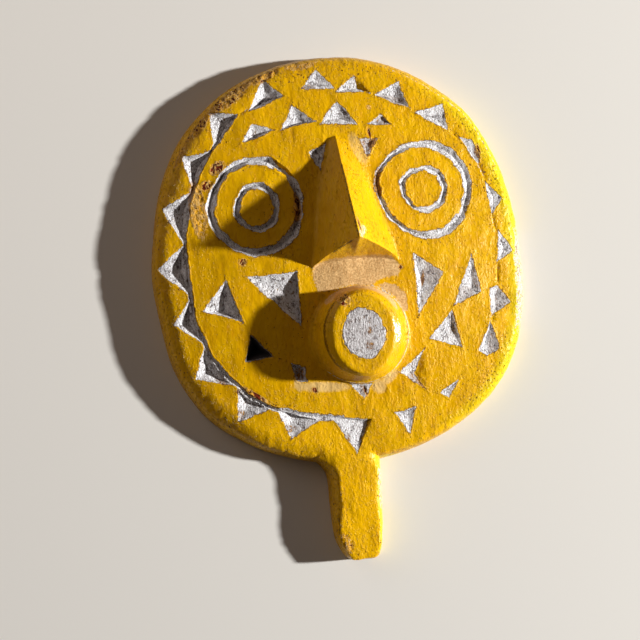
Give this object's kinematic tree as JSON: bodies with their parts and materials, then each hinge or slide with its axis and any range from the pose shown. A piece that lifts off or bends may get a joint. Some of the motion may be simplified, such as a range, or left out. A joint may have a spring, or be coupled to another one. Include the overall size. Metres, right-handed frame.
{
  "type": "painted wooden disc mask with grip",
  "caption": "Carved wooden mask: a domed, yellow-painted disc face with white chip-cut triangles, ringed eyes, a wedge nose, a stub mouth and a short grip below the chin.",
  "frame": {"origin": "on the flat back, in the middle of the mask's length and width", "axes": "+Z out of the face, +Y towards the top of the mask, away from the grip, +X towards the viewer's right"},
  "size_m": [0.1849, 0.25, 0.0495],
  "materials": {
    "painted_wood": "brushed glossy golden-yellow paint over carved wood, white paint in the cuts, worn and flaked in places, bare wood on the back"
  },
  "bodies": {
    "root": {"carved_mask": "painted_wood"}
  },
  "joints": []
}
